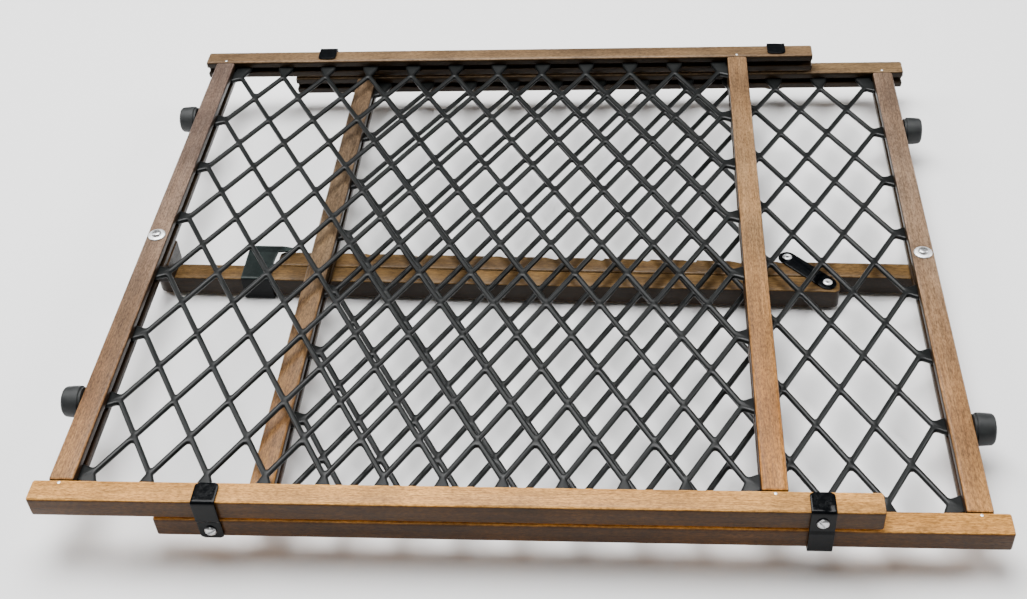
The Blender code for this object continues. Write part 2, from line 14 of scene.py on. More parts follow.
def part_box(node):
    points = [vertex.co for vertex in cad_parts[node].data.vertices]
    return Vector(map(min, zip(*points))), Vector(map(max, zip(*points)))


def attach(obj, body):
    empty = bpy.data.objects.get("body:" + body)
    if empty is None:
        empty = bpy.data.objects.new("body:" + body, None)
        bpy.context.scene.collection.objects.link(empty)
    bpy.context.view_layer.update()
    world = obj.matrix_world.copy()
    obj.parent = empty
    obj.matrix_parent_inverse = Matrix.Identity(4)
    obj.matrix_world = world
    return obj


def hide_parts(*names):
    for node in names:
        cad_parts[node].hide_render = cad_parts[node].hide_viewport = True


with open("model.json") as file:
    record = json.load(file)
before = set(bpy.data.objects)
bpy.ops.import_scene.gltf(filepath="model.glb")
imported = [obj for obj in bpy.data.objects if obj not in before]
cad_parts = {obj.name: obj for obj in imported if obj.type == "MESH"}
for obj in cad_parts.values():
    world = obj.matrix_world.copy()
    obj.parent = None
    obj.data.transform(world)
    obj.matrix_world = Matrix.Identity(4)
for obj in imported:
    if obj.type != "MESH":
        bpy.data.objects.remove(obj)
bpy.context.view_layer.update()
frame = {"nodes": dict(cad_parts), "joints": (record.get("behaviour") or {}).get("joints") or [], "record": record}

MM = 0.001
STICK = 19 * MM  # every frame stick and bar is this thick
BAR_WIDTH = 18.5 * MM
FIT = 0.3 * MM  # gap between pieces that touch
WELD = 0.01 * MM  # closer points are one
BEND_STEPS = 6  # points round each bend of sheet metal
JOINTS = {joint["name"]: joint for joint in frame["joints"]}
LEFT_PIVOT = Vector(JOINTS["left_pivot_turn"]["pos_m"])
RIGHT_PIVOT = Vector(JOINTS["notched_bar_swing"]["pos_m"])
RIVET = Vector(JOINTS["shackle_swing"]["pos_m"])
BAR_ANGLE = math.atan2(JOINTS["collar_slide"]["axis"][1], JOINTS["collar_slide"]["axis"][0])
BODIES = frame["record"]["behaviour"]["bodies"]
BODY_OF = {node: body for body, nodes in BODIES.items() for node in nodes}


# Materials ---------------------------------------------------------------------------------------


class Shading:
    """One node material under construction: nodes by short calls, with the shader's own sockets set."""

    def __init__(self, name, roughness, metallic=0.0, **sockets):
        self.material = bpy.data.materials.new(name)
        self.material.use_nodes = True
        self.tree = self.material.node_tree
        self.shader = self.tree.nodes["Principled BSDF"]
        self.shader.inputs["Roughness"].default_value = roughness
        self.shader.inputs["Metallic"].default_value = metallic
        for socket, value in sockets.items():
            self.shader.inputs[socket.replace("_", " ")].default_value = value
        where = self.node("ShaderNodeTexCoord")
        self.place, self.normal = where.outputs["Object"], where.outputs["Normal"]

    def node(self, kind, **settings):
        made = self.tree.nodes.new(kind)
        for key, value in settings.items():
            if key in made.inputs:
                made.inputs[key].default_value = value
            else:
                setattr(made, key, value)
        return made

    def link(self, source, target):
        self.tree.links.new(source, target)

    def stretched(self, scale=(1, 1, 1), shift=(0, 0, 0)):
        """The place on the object, scaled by axis and then shifted, to lay a noise on."""
        mapping = self.node("ShaderNodeMapping")
        mapping.inputs["Scale"].default_value = scale
        mapping.inputs["Location"].default_value = shift
        self.link(self.place, mapping.inputs["Vector"])
        return mapping.outputs["Vector"]

    def noise(self, vector, scale, detail=4.0, roughness=0.5, distortion=0.0):
        made = self.node("ShaderNodeTexNoise", Scale=scale, Detail=detail, Roughness=roughness)
        made.inputs["Distortion"].default_value = distortion
        self.link(vector, made.inputs["Vector"])
        return made.outputs["Fac"]

    def ramp(self, factor, *stops):
        """A colour ramp whose stops are (position, value or colour)."""
        made = self.node("ShaderNodeValToRGB")
        ramp = made.color_ramp
        while len(ramp.elements) < len(stops):
            ramp.elements.new(0.5)
        for element, (position, value) in zip(ramp.elements, stops):
            element.position = position
            colour = value if isinstance(value, tuple) else (value, value, value)
            element.color = (*colour, 1)
        self.link(factor, made.inputs["Fac"])
        return made.outputs["Color"]

    def mix(self, kind, factor, first, second):
        """Two colours mixed by a factor. Each of the three is a socket or a constant."""
        made = self.node("ShaderNodeMix", data_type="RGBA", blend_type=kind)
        factor_socket, first_socket, second_socket = (made.inputs[n] for n in (0, 6, 7))
        for socket, value in ((factor_socket, factor), (first_socket, first), (second_socket, second)):
            if isinstance(value, bpy.types.NodeSocket):
                self.link(value, socket)
            elif isinstance(value, tuple):
                socket.default_value = (*value, 1)
            else:
                socket.default_value = value
        return made.outputs[2]

    def math(self, operation, *values):
        made = self.node("ShaderNodeMath", operation=operation)
        for socket, value in zip(made.inputs, values):
            if isinstance(value, bpy.types.NodeSocket):
                self.link(value, socket)
            else:
                socket.default_value = value
        return made.outputs[0]

    def bump(self, height, strength, distance, base=None):
        made = self.node("ShaderNodeBump", Strength=strength, Distance=distance)
        self.link(height, made.inputs["Height"])
        if base:
            self.link(base, made.inputs["Normal"])
        return made.outputs["Normal"]

    def part(self, source, axis):
        """One part of a vector: 0 for X, 1 for Y, 2 for Z."""
        parts = self.node("ShaderNodeSeparateXYZ")
        self.link(source, parts.inputs[0])
        return parts.outputs[axis]

    def upward(self):
        """How far a face is turned towards the top or the bottom, from 0 to 1."""
        return self.math("ABSOLUTE", self.part(self.normal, 2))

    def lengthwise(self):
        """How far along the gate's height a point lies, from 0 near to 1 far."""
        return self.math("DIVIDE", self.math("ADD", self.part(self.place, 1), 0.3), 0.6)

    def outermost(self, middle, half):
        """1 on the top and bottom of a piece of this half height, falling to 0 a little way in."""
        away = self.math("ABSOLUTE", self.math("SUBTRACT", self.part(self.place, 2), middle))
        return self.ramp(self.math("DIVIDE", away, half), (0.72, 0.0), (0.93, 1.0))

    def finish(self, colour=None, roughness=None, normal=None):
        for socket, source in (("Base Color", colour), ("Roughness", roughness), ("Normal", normal)):
            if source:
                self.link(source, self.shader.inputs[socket])
        return self.material


PLAIN_WOOD = (0.56, 0.285, 0.082)
# How the figure of the grain lightens or darkens the stain.
FIGURE = [(0.25, 0.6), (0.45, 0.88), (0.58, 1.0), (0.78, 1.3)]
# Painted light by how open a face is: painted shade in the grooves and on the sides, a painted highlight along the
# long edges.
PAINTED_SHADE_AND_HIGHLIGHT = [
    (0.15, (0.13, 0.105, 0.05)),
    (0.45, (0.6, 0.6, 0.6)),
    (0.7, (1.5, 1.55, 1.7)),
    (0.97, (1.0, 1.0, 1.0)),
]
# Painted light along the stiles' length: lighter and golden at the near end, darker and greyer at the far end.
PAINTED_LIGHT_ALONG_STILES = [
    (0.05, (1.9, 1.35, 0.7)),
    (0.17, (1.15, 0.82, 0.5)),
    (0.33, (1.15, 0.95, 0.78)),
    (0.5, (1.05, 1.0, 1.06)),
    (0.67, (0.98, 0.97, 1.12)),
    (0.87, (0.78, 0.76, 0.9)),
]


def wood(name, along, shift, tint, middle, half):
    """Brown-stained softwood with painted shade on its sides, a painted highlight along its long edges, and on the
    stiles painted light along their length. along is the grain's direction: 0 for X, 1 for Y.
    """
    made = Shading(name, 0.42, Specular_IOR_Level=0.18)

    def drawn_out(scale):
        """The place on the object, stretched along the grain."""
        return made.stretched(tuple(scale if axis == along else 1.0 for axis in range(3)), shift)

    grain = drawn_out(0.05)
    figure = made.noise(grain, 60, 6, 0.62, 1.2)
    rings = made.noise(grain, 230, 5, 0.6, 0.6)
    pores = made.noise(drawn_out(0.04), 1000, 3, 0.65)
    grit = made.noise(drawn_out(0.3), 900, 4, 0.7)
    cloud = made.noise(made.stretched(shift=shift), 18, 5, 0.6)
    stain = [PLAIN_WOOD[n] * tint[n] for n in range(3)]
    colour = made.ramp(figure, *[(stop, tuple(part * level for part in stain)) for stop, level in FIGURE])
    for strength, source, low, high in (
        (0.4, rings, (0.36, (0.6, 0.5, 0.42)), (0.62, (1.0, 1.0, 1.0))),
        (0.55, pores, (0.36, 0.35), (0.52, 1.0)),
        (0.95, grit, (0.36, (0.5, 0.46, 0.42)), (0.62, (1.25, 1.22, 1.18))),
        (0.95, cloud, (0.3, (0.62, 0.62, 0.64)), (0.68, (1.2, 1.18, 1.14))),
    ):
        colour = made.mix("MULTIPLY", strength, colour, made.ramp(source, low, high))
    if along == 1:
        # Painted light along a stile: lighter and warmer near, darker and greyer far.
        colour = made.mix("MULTIPLY", 1.0, colour, made.ramp(made.lengthwise(), *PAINTED_LIGHT_ALONG_STILES))
    # Painted shade on the sides and in the grooves, and a painted highlight along the long edges.
    painted_light_mask = made.math("MULTIPLY", made.upward(), made.outermost(middle, half))
    colour = made.mix("MULTIPLY", 1.0, colour, made.ramp(painted_light_mask, *PAINTED_SHADE_AND_HIGHLIGHT))
    gloss = made.ramp(made.noise(grain, 160, 4, 0.6), (0.3, 0.3), (0.7, 0.5))
    texture = made.bump(pores, 0.35, 0.0002)
    return made.finish(colour, gloss, made.bump(grit, 0.3, 0.0003, texture))


def plastic():
    """Charcoal moulded plastic with a soft sheen and faint flow marks."""
    made = Shading("lattice_charcoal", 0.36, Specular_IOR_Level=0.22)
    cloud = made.noise(made.stretched(), 30, 4)
    colour = made.ramp(cloud, (0.3, (0.003, 0.0036, 0.0036)), (0.7, (0.007, 0.0078, 0.0078)))
    speck = made.noise(made.stretched(), 1400, 2)
    gloss = made.ramp(cloud, (0.3, 0.30), (0.7, 0.44))
    return made.finish(colour, gloss, made.bump(speck, 0.12, 0.0001))


def rubber():
    """Dark rubber with a fine turned texture and dusty, slightly paler patches."""
    made = Shading("bumper_rubber", 0.55, Specular_IOR_Level=0.35)
    dust = made.noise(made.stretched(), 90, 5, 0.6)
    colour = made.ramp(dust, (0.35, (0.008, 0.009, 0.0095)), (0.72, (0.020, 0.022, 0.022)))
    grit = made.noise(made.stretched((4, 1, 1)), 1200, 3, 0.6)
    gloss = made.ramp(dust, (0.3, 0.46), (0.7, 0.66))
    return made.finish(colour, gloss, made.bump(grit, 0.3, 0.00015))


def enamel(name, painted_sheen_colour):
    """Gloss black paint on steel, slightly wavy, with small dull scuffs. Sloping faces get a paler painted sheen.
    """
    made = Shading(name, 0.2, Specular_IOR_Level=0.1)
    wave = made.noise(made.stretched(), 120, 3)
    scuff = made.noise(made.stretched((1, 1, 0.4)), 420, 6, 0.7)
    base = made.ramp(scuff, (0.5, (0.0012, 0.0015, 0.002)), (0.8, (0.007, 0.0085, 0.0095)))
    # Painted sheen: faces that slope up take a paler colour, as if reflecting the sky.
    slope = made.ramp(made.upward(), (0.3, 0.0), (0.8, 1.0), (0.985, 1.0), (1.0, 0.25))
    paler = tuple(1.5 * part for part in painted_sheen_colour)
    colour = made.mix("MIX", slope, base, made.ramp(scuff, (0.3, painted_sheen_colour), (0.7, paler)))
    gloss = made.ramp(scuff, (0.4, 0.12), (0.8, 0.3))
    return made.finish(colour, gloss, made.bump(wave, 0.25, 0.0004))


def zinc(name, roughness, level):
    """Zinc plate with faint mottling and fine scratches. level is how bright it is, up to 1."""
    made = Shading(name, roughness, metallic=1.0)
    cloud = made.noise(made.stretched(), 260, 5, 0.6)
    scratch = made.noise(made.stretched((6, 1, 1)), 900, 4, 0.7)
    mottled = tuple(level * part for part in (0.74, 0.75, 0.76))
    colour = made.ramp(cloud, (0.3, mottled), (0.7, level))
    gloss = made.ramp(scratch, (0.3, roughness * 0.7), (0.7, roughness * 1.5))
    return made.finish(colour, gloss, made.bump(scratch, 0.15, 0.00005))


LATTICE_PLASTIC = plastic()
RUBBER = rubber()
ENAMEL = enamel("black_enamel", (0.0012, 0.0015, 0.002))
# The collar's enamel, with a grey-green painted sheen on its sloping faces.
ENAMEL_WITH_PAINTED_SHEEN = enamel("black_enamel_painted_sheen", (0.026, 0.034, 0.032))
ZINC = zinc("zinc_plate", 0.3, 0.62)
BRIGHT_ZINC = zinc("bright_zinc_plate", 0.45, 0.97)


# Shapes ------------------------------------------------------------------------------------------


def show(name, mesh, material, node, location=(0, 0, 0), rotation=(0, 0, 0), edge=0.0, sharp=40):
    """A finished piece that stands for a CAD node and moves with its body.

    edge rounds every edge sharper than sharp degrees.
    """
    piece = bpy.data.objects.new(name, mesh)
    bpy.context.scene.collection.objects.link(piece)
    piece.location = location
    piece.rotation_euler = rotation
    mesh.materials.clear()
    mesh.materials.append(material)
    if edge:
        bevelled(piece, edge, sharp)
    mesh.shade_smooth()
    mesh.set_sharp_from_angle(angle=math.radians(sharp))
    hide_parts(node)
    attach(piece, BODY_OF[node])
    return piece


def bevelled(piece, edge, sharp):
    """Rounds a piece's edges that are sharper than sharp degrees."""
    bevel = piece.modifiers.new("edges", "BEVEL")
    bevel.width, bevel.segments, bevel.limit_method = edge, 2, "ANGLE"
    bevel.angle_limit = math.radians(sharp)


def welded(mesh):
    """The mesh with its doubled points joined."""
    shape = bmesh.new()
    shape.from_mesh(mesh)
    bmesh.ops.remove_doubles(shape, verts=shape.verts, dist=WELD)
    bmesh.ops.dissolve_degenerate(shape, edges=shape.edges, dist=WELD)
    shape.to_mesh(mesh)
    shape.free()
    return mesh


def slab(name, loops, thickness, edge, resolution=3):
    """Flat closed loops made thickness thick about Z = 0, with every edge rounded by edge."""
    curve = bpy.data.curves.new(name, "CURVE")
    curve.dimensions = "2D"
    curve.fill_mode = "BOTH"
    curve.extrude = thickness / 2 - edge
    curve.bevel_depth = edge
    curve.bevel_resolution = resolution
    curve.offset = -edge
    for loop in loops:
        spline = curve.splines.new("POLY")
        spline.points.add(len(loop) - 1)
        for point, (x, y) in zip(spline.points, loop):
            point.co = (x, y, 0, 1)
        spline.use_cyclic_u = True
    drawn = bpy.data.objects.new(name, curve)
    bpy.context.scene.collection.objects.link(drawn)
    bpy.context.view_layer.update()
    mesh = bpy.data.meshes.new_from_object(drawn.evaluated_get(bpy.context.evaluated_depsgraph_get()))
    bpy.data.objects.remove(drawn)
    return welded(mesh)


def arc(centre, radius, start, end, steps):
    """Points round a part of a circle, between two angles in degrees."""
    turns = [math.radians(start + (end - start) * n / steps) for n in range(steps + 1)]
    return [(centre[0] + radius * math.cos(a), centre[1] + radius * math.sin(a)) for a in turns]


def rounded(corners, radius, steps):
    """A closed loop with each corner rounded, by one radius or by one for each corner."""
    points = []
    for n, corner in enumerate(corners):
        before, here = Vector(corners[n - 1]), Vector(corner)
        after = Vector(corners[(n + 1) % len(corners)])
        r = radius[n] if isinstance(radius, (list, tuple)) else radius
        into, out = (before - here), (after - here)
        half = into.angle(out) / 2
        back = min(r / math.tan(half), into.length * 0.48, out.length * 0.48)
        start, end = here + into.normalized() * back, here + out.normalized() * back
        for step in range(steps + 1):
            t = step / steps
            points.append(tuple(start * (1 - t) ** 2 + here * 2 * t * (1 - t) + end * t**2))
    return points


def turned(name, profile, sides):
    """A turned solid. profile is (radius, height) from the axis and back to it, or a closed ring."""
    mesh = bpy.data.meshes.new(name)
    shape = bmesh.new()
    rings = []
    for radius, height in profile:
        if radius < 1e-6:
            rings.append([shape.verts.new((0, 0, height))])
        else:
            turns = [2 * math.pi * n / sides for n in range(sides)]
            places = [(radius * math.cos(a), radius * math.sin(a), height) for a in turns]
            rings.append([shape.verts.new(place) for place in places])
    closed = len(rings[0]) > 1
    for upper, lower in zip(rings, rings[1:] + (rings[:1] if closed else [])):
        for n in range(sides):
            m = (n + 1) % sides
            left = [upper[n % len(upper)], lower[n % len(lower)]]
            right = [lower[m % len(lower)], upper[m % len(upper)]]
            corners = list(dict.fromkeys(left + right))
            if len(corners) > 2:
                shape.faces.new(corners)
    bmesh.ops.recalc_face_normals(shape, faces=shape.faces)
    shape.to_mesh(mesh)
    shape.free()
    return mesh


def block(name, size, location=(0, 0, 0), rotation=(0, 0, 0)):
    """A box used to cut a slot."""
    mesh = bpy.data.meshes.new(name)
    shape = bmesh.new()
    place = Matrix.LocRotScale(Vector(location), Euler(rotation), Vector(size))
    bmesh.ops.create_cube(shape, size=1, matrix=place)
    shape.to_mesh(mesh)
    shape.free()
    return mesh


def cut(mesh, *cutters):
    """The mesh with the cutter meshes taken away from it."""
    solid = bpy.data.objects.new("solid", mesh)
    bpy.context.scene.collection.objects.link(solid)
    tools = []
    for cutter in cutters:
        tool = bpy.data.objects.new("tool", cutter)
        bpy.context.scene.collection.objects.link(tool)
        tools.append(tool)
        step = solid.modifiers.new("cut", "BOOLEAN")
        step.object, step.operation, step.solver = tool, "DIFFERENCE", "EXACT"
    bpy.context.view_layer.update()
    made = bpy.data.meshes.new_from_object(solid.evaluated_get(bpy.context.evaluated_depsgraph_get()))
    for done in [solid, *tools]:
        bpy.data.objects.remove(done)
    return welded(made)


def centre_of(node):
    low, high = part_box(node)
    return (low + high) / 2


# Lattices ----------------------------------------------------------------------------------------

COLUMNS, ROWS = 11, 7
TAB_HALF, TAB_REACH = 8 * MM, 4.5 * MM
SIDE_MARGIN, END_MARGIN = 8 * MM, 13.6 * MM
STRAND = 4.5 * MM


def lattice(node):
    """The moulded diamond mesh: round strands, webs in the corners, flared tabs into the grooves."""
    low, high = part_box(node)
    size = high - low
    width = size.x - 2 * (SIDE_MARGIN + TAB_REACH)
    height = size.y - 2 * (END_MARGIN + TAB_REACH)
    pitch_x, pitch_y = width / COLUMNS, height / ROWS
    reach = pitch_x * pitch_y / 2 / math.hypot(pitch_x, pitch_y)
    open_part = 1 - STRAND / 2 / reach
    half_x, half_y = open_part * pitch_x / 2, open_part * pitch_y / 2
    x, y = width / 2, height / 2

    def scallops(count, pitch, half_along, half_across, margin):
        """One side as (distance along, distance out): a flared tab at each crossing, a V between tabs."""
        points = []
        for n in range(count + 1):
            left = [(n * pitch - pitch / 2 + half_along, 0), (n * pitch - TAB_HALF, margin)]
            right = [(n * pitch + TAB_HALF, margin), (n * pitch + pitch / 2 - half_along, 0)]
            points += left if n else []
            points += [(n * pitch + end, margin + TAB_REACH) for end in (-TAB_HALF, TAB_HALF)]
            points += [*right, ((n + 0.5) * pitch, -half_across)] if n < count else []
        return points

    end = scallops(COLUMNS, pitch_x, half_x, half_y, END_MARGIN)
    flank = scallops(ROWS, pitch_y, half_y, half_x, SIDE_MARGIN)
    sides = [
        [(a - x, -y - out) for a, out in end],
        [(x + out, a - y) for a, out in flank],
        [(x - a, y + out) for a, out in end],
        [(-x - out, y - a) for a, out in flank],
    ]
    corner_x, corner_y = x + SIDE_MARGIN - FIT, y + TAB_HALF
    outer = joined_corners(sides, corner_x, corner_y)
    loops = [rounded(outer, 2.8 * MM, 3)]
    centres = [(c + 0.5, r) for c in range(COLUMNS) for r in range(1, ROWS)]
    centres += [(c, r + 0.5) for c in range(1, COLUMNS) for r in range(ROWS)]
    for column, row in centres:
        cx, cy = column * pitch_x - x, row * pitch_y - y
        diamond = [(cx + half_x, cy), (cx, cy + half_y), (cx - half_x, cy), (cx, cy - half_y)]
        loops.append(rounded(diamond, [2.2 * MM, 1.2 * MM] * 2, 3))
    mesh = slab(node + "_mesh", loops, size.z, 1.95 * MM, 2)
    show(node + "_moulded", mesh, LATTICE_PLASTIC, node, centre_of(node), sharp=60)


def joined_corners(sides, corner_x, corner_y):
    """The four sides end to end, with the inner point between the two tabs that meet at each corner."""
    signs = ((-1, -1), (1, -1), (1, 1), (-1, 1))
    outline = []
    for n, side in enumerate(sides):
        points = list(side)
        sign_x, sign_y = signs[n]
        if n in (0, 2):
            points[0] = (sign_x * corner_x, points[0][1])
            points[-1] = (-sign_x * corner_x, points[-1][1])
            outline += points
            outline.append((-sign_x * corner_x, sign_y * corner_y))
        else:
            outline += points
            outline.append((sign_x * corner_x, -sign_y * corner_y))
    return outline


# Screws, washers and rivets ----------------------------------------------------------------------


def dome(radius, rise, edge, steps=6):
    """Half section of a pan head from its top centre down to its rim."""
    points = [(0, rise)]
    for n in range(1, steps + 1):
        a = math.pi / 2 * n / steps
        across = radius * (0.45 + 0.55 * math.sin(a))
        points.append((across, edge + (rise - edge) * math.cos(a) ** 0.8))
    return points


def screw_mesh(name, radius, rise, shank, length, recess, turn):
    """A pan-head screw sitting on Z = 0. recess is slot or cross."""
    profile = dome(radius, rise, 0.35 * MM) + [(radius * 0.97, 0), (shank, 0)]
    mesh = turned(name, [*profile, (shank, -length + shank), (0, -length)], 40)
    if recess == "slot":
        size, turns = (radius * 2.4, 1.6 * MM, 2.6 * MM), [turn]
    else:
        size, turns = (4.4 * MM, 0.95 * MM, 2.4 * MM), [turn, turn + math.pi / 2]
    return cut(mesh, *[block(recess, size, (0, 0, rise), (0, 0, angle)) for angle in turns])


def clip_screws():
    for prefix in ("left", "right"):
        for place, side in (("near", -1), ("far", 1)):
            node = f"{prefix}_{place}_clip_screw"
            low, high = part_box(node)
            middle, head = (low + high) / 2, 2.4 * MM
            seat = low.y + head if side < 0 else high.y - head
            turn = math.radians(35 if prefix == "left" else -52)
            mesh = screw_mesh(node + "_mesh", 4.4 * MM, 2.35 * MM, 1.75 * MM, 14 * MM, "slot", turn)
            location, rotation = (middle.x, seat, middle.z), (-side * math.pi / 2, 0, 0)
            show(node + "_turned", mesh, ZINC, node, location, rotation, 0.12 * MM, 35)


def pivot_hardware():
    """A dished washer and a cross-head screw at each bar's pivot."""
    for prefix, turn in (("left", 0.3), ("right", 0.8)):
        node = prefix + "_pivot_washer"
        low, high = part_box(node)
        radius, thick = (high.x - low.x) / 2, high.z - low.z
        bore = 2.7 * MM
        profile = [
            (bore, thick),
            (radius * 0.62, thick),
            (radius * 0.68, thick * 0.93),
            (radius * 0.84, thick * 0.9),
            (radius * 0.95, thick * 0.62),
            (radius, thick * 0.3),
            (radius, 0),
            (bore, 0),
        ]
        place = ((low.x + high.x) / 2, (low.y + high.y) / 2, low.z)
        mesh = turned(node, profile, 56)
        show(node + "_turned", mesh, BRIGHT_ZINC, node, place, edge=0.1 * MM, sharp=50)
        screw = prefix + "_pivot_screw"
        low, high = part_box(screw)
        rise = 2 * MM
        mesh = screw_mesh(screw, 4.2 * MM, rise, 2.4 * MM, high.z - low.z - rise, "cross", turn)
        place = ((low.x + high.x) / 2, (low.y + high.y) / 2, high.z - rise)
        show(screw + "_turned", mesh, ZINC, screw, place, (0, 0, BAR_ANGLE), 0.1 * MM, 35)


def rivets():
    """Tubular rivets: a rolled rim round a dark hollow."""
    for node in ("shackle_rivet", "catch_pin"):
        low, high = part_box(node)
        middle = (low + high) / 2
        reach, head = (high.z - low.z) / 2, 4 * MM
        profile = [
            (0, reach - 3.4 * MM),
            (1.2 * MM, reach - 3.4 * MM),
            (1.35 * MM, reach - 0.5 * MM),
            (1.7 * MM, reach - 0.12 * MM),
            (2.3 * MM, reach),
            (3.1 * MM, reach - 0.12 * MM),
            (3.8 * MM, reach - 0.55 * MM),
            (head, reach - 1.0 * MM),
            (head * 0.97, reach - 1.2 * MM),
            (2.3 * MM, reach - 1.2 * MM),
            (2.3 * MM, -reach + 1.2 * MM),
            (head * 0.97, -reach + 1.2 * MM),
            (head, -reach + 0.9 * MM),
            (head * 0.8, -reach + 0.1 * MM),
            (head * 0.6, -reach),
            (0, -reach),
        ]
        mesh = turned(node, profile, 40)
        show(node + "_turned", mesh, BRIGHT_ZINC, node, middle, edge=0.06 * MM, sharp=50)


# Bumpers -----------------------------------------------------------------------------------------


def bumpers():
    """Turned rubber feet with a rounded rim, a neck against the stile and a deep well for the screw."""
    for prefix, outward in (("front", -1), ("back", 1)):
        for place in ("near", "far"):
            node = f"{prefix}_{place}_bumper"
            low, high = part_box(node)
            radius, length = (high.z - low.z) / 2, high.x - low.x
            rim, well, bore, seat = 3 * MM, 4.6 * MM, 2.6 * MM, length - 8 * MM
            end, neck = radius - 0.5 * MM, radius - 1.2 * MM
            profile = [
                (well, length - 0.6 * MM),
                (well + 0.5 * MM, length - 0.1 * MM),
                (end - rim - 0.8 * MM, length),
                *arc((end - rim, length - rim), rim, 90, 0, 6)[1:],
                (radius - 0.15 * MM, length * 0.55),
                (radius, length * 0.35),
                (radius, 2.4 * MM),
                (radius - 0.4 * MM, 1.9 * MM),
                (neck, 1.7 * MM),
                (neck, 0),
                (bore, 0),
                (bore, seat),
                (well, seat),
            ]
            mesh = turned(node, profile, 64)
            base = low.x if outward > 0 else high.x
            location = (base, (low.y + high.y) / 2, (low.z + high.z) / 2)
            rotation = (0, outward * math.pi / 2, 0)
            show(node + "_turned", mesh, RUBBER, node, location, rotation, sharp=35)


# Guide clips, collar and shackle -----------------------------------------------------------------

SHEET = 1.5 * MM
RAIL_FACE = 292 * MM  # from the gate's middle line to the rails' outer faces


def sheet_path(corners, radius, spacing=1.5 * MM):
    """Corner points joined by straight runs and bends, as evenly spaced points."""
    path = [Vector(corners[0])]
    for before, corner, after in zip(corners, corners[1:], corners[2:]):
        here = Vector(corner)
        into, out = (Vector(before) - here), (Vector(after) - here)
        half = into.angle(out) / 2
        back = min(radius / math.tan(half), into.length * 0.5, out.length * 0.5)
        start, end = here + into.normalized() * back, here + out.normalized() * back
        for n in range(BEND_STEPS + 1):
            t = n / BEND_STEPS
            path.append(start * (1 - t) ** 2 + here * 2 * t * (1 - t) + end * t**2)
    path.append(Vector(corners[-1]))
    filled = [path[0]]
    for point in path[1:]:
        gap = (point - filled[-1]).length
        if gap < 1e-7:
            continue
        start = filled[-1]
        pieces = max(1, round(gap / spacing))
        filled += [start.lerp(point, n / pieces) for n in range(1, pieces + 1)]
    return filled


def sheet(name, rows):
    """A surface through rows of points, all equally long."""
    mesh = bpy.data.meshes.new(name)
    shape = bmesh.new()
    rows = [[shape.verts.new(point) for point in row] for row in rows]
    for upper, lower in zip(rows, rows[1:]):
        for n in range(len(upper) - 1):
            shape.faces.new((upper[n], upper[n + 1], lower[n + 1], lower[n]))
    bmesh.ops.recalc_face_normals(shape, faces=shape.faces)
    shape.to_mesh(mesh)
    shape.free()
    return mesh


def bent_strip(name, path, width, corner, dimple):
    """The middle surface of a strip that follows a path in (Y, Z), with rounded free ends."""
    runs = [0.0]
    for before, point in zip(path, path[1:]):
        runs.append(runs[-1] + (point - before).length)
    rows, across = [], 10
    for point, run in zip(path, runs):
        to_end = min(run, runs[-1] - run)
        half = width / 2
        if to_end < corner:
            half -= corner - math.sqrt(max(corner**2 - (corner - to_end) ** 2, 0))
        places = [half * (2 * n / across - 1) for n in range(across + 1)]
        rows.append([(x, point.x, point.y - dimple(x, point)) for x in places])
    return sheet(name, rows)


def thicken(piece, edge):
    """Gives a surface its sheet thickness about its middle, then rounds the cut edges."""
    solid = piece.modifiers.new("sheet", "SOLIDIFY")
    solid.thickness, solid.offset, solid.use_even_offset = SHEET, 0, True
    bevelled(piece, edge, 50)


def clips():
    """Bent strips over the rails. Each has a joggle at the step between the two frames."""
    half, joggle = SHEET / 2, 1.4 * MM
    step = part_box("back_near_rail")[1].z + 0.6 * MM
    for prefix in ("left", "right"):
        for place, side in (("near", -1), ("far", 1)):
            node = f"{prefix}_{place}_clip"
            low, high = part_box(node)
            outer = low.y + half if side < 0 else high.y - half
            inner = high.y if side < 0 else low.y
            snug = side * (RAIL_FACE + FIT + half)
            top, bottom = high.z - half, low.z + half
            if prefix == "left":
                corners = [(inner, top), (outer, top), (outer, step + joggle), (snug, step - joggle)]
                corners += [(snug, low.z)]
            else:
                corners = [(inner, top), (snug, top), (snug, step + joggle), (outer, step - joggle)]
                corners += [(outer, bottom), (inner, bottom)]
            path = sheet_path(corners, 2.0 * MM)
            dent = Vector((4.5 * MM, side * (RAIL_FACE - 1.2 * MM)))

            def dimple(x, point, dent=dent, shown=prefix == "right"):
                """How deep a punched dimple in the top of a right clip is at a point."""
                if not shown or point.y <= step + 12 * MM:
                    return 0.0
                away = (Vector((x, point.x)) - dent).length
                return 0.5 * MM * math.exp(-((away / (3 * MM)) ** 2))

            mesh = bent_strip(node, path, high.x - low.x, 3.2 * MM, dimple)
            location = ((low.x + high.x) / 2, 0, 0)
            piece = show(node + "_bent", mesh, ENAMEL, node, location, sharp=50)
            thicken(piece, 0.35 * MM)


def bar_frame(pivot):
    """The matrix of a bar's own frame: its pivot at the origin and its length along X."""
    return Matrix.Translation(pivot) @ Matrix.Rotation(BAR_ANGLE, 4, "Z")


def bar_box(node, pivot):
    """A CAD node's lowest and highest corners in a bar's own frame."""
    turn = bar_frame(pivot).inverted()
    points = [turn @ vertex.co for vertex in frame["nodes"][node].data.vertices]
    low = Vector([min(p[axis] for p in points) for axis in range(3)])
    high = Vector([max(p[axis] for p in points) for axis in range(3)])
    return low, high


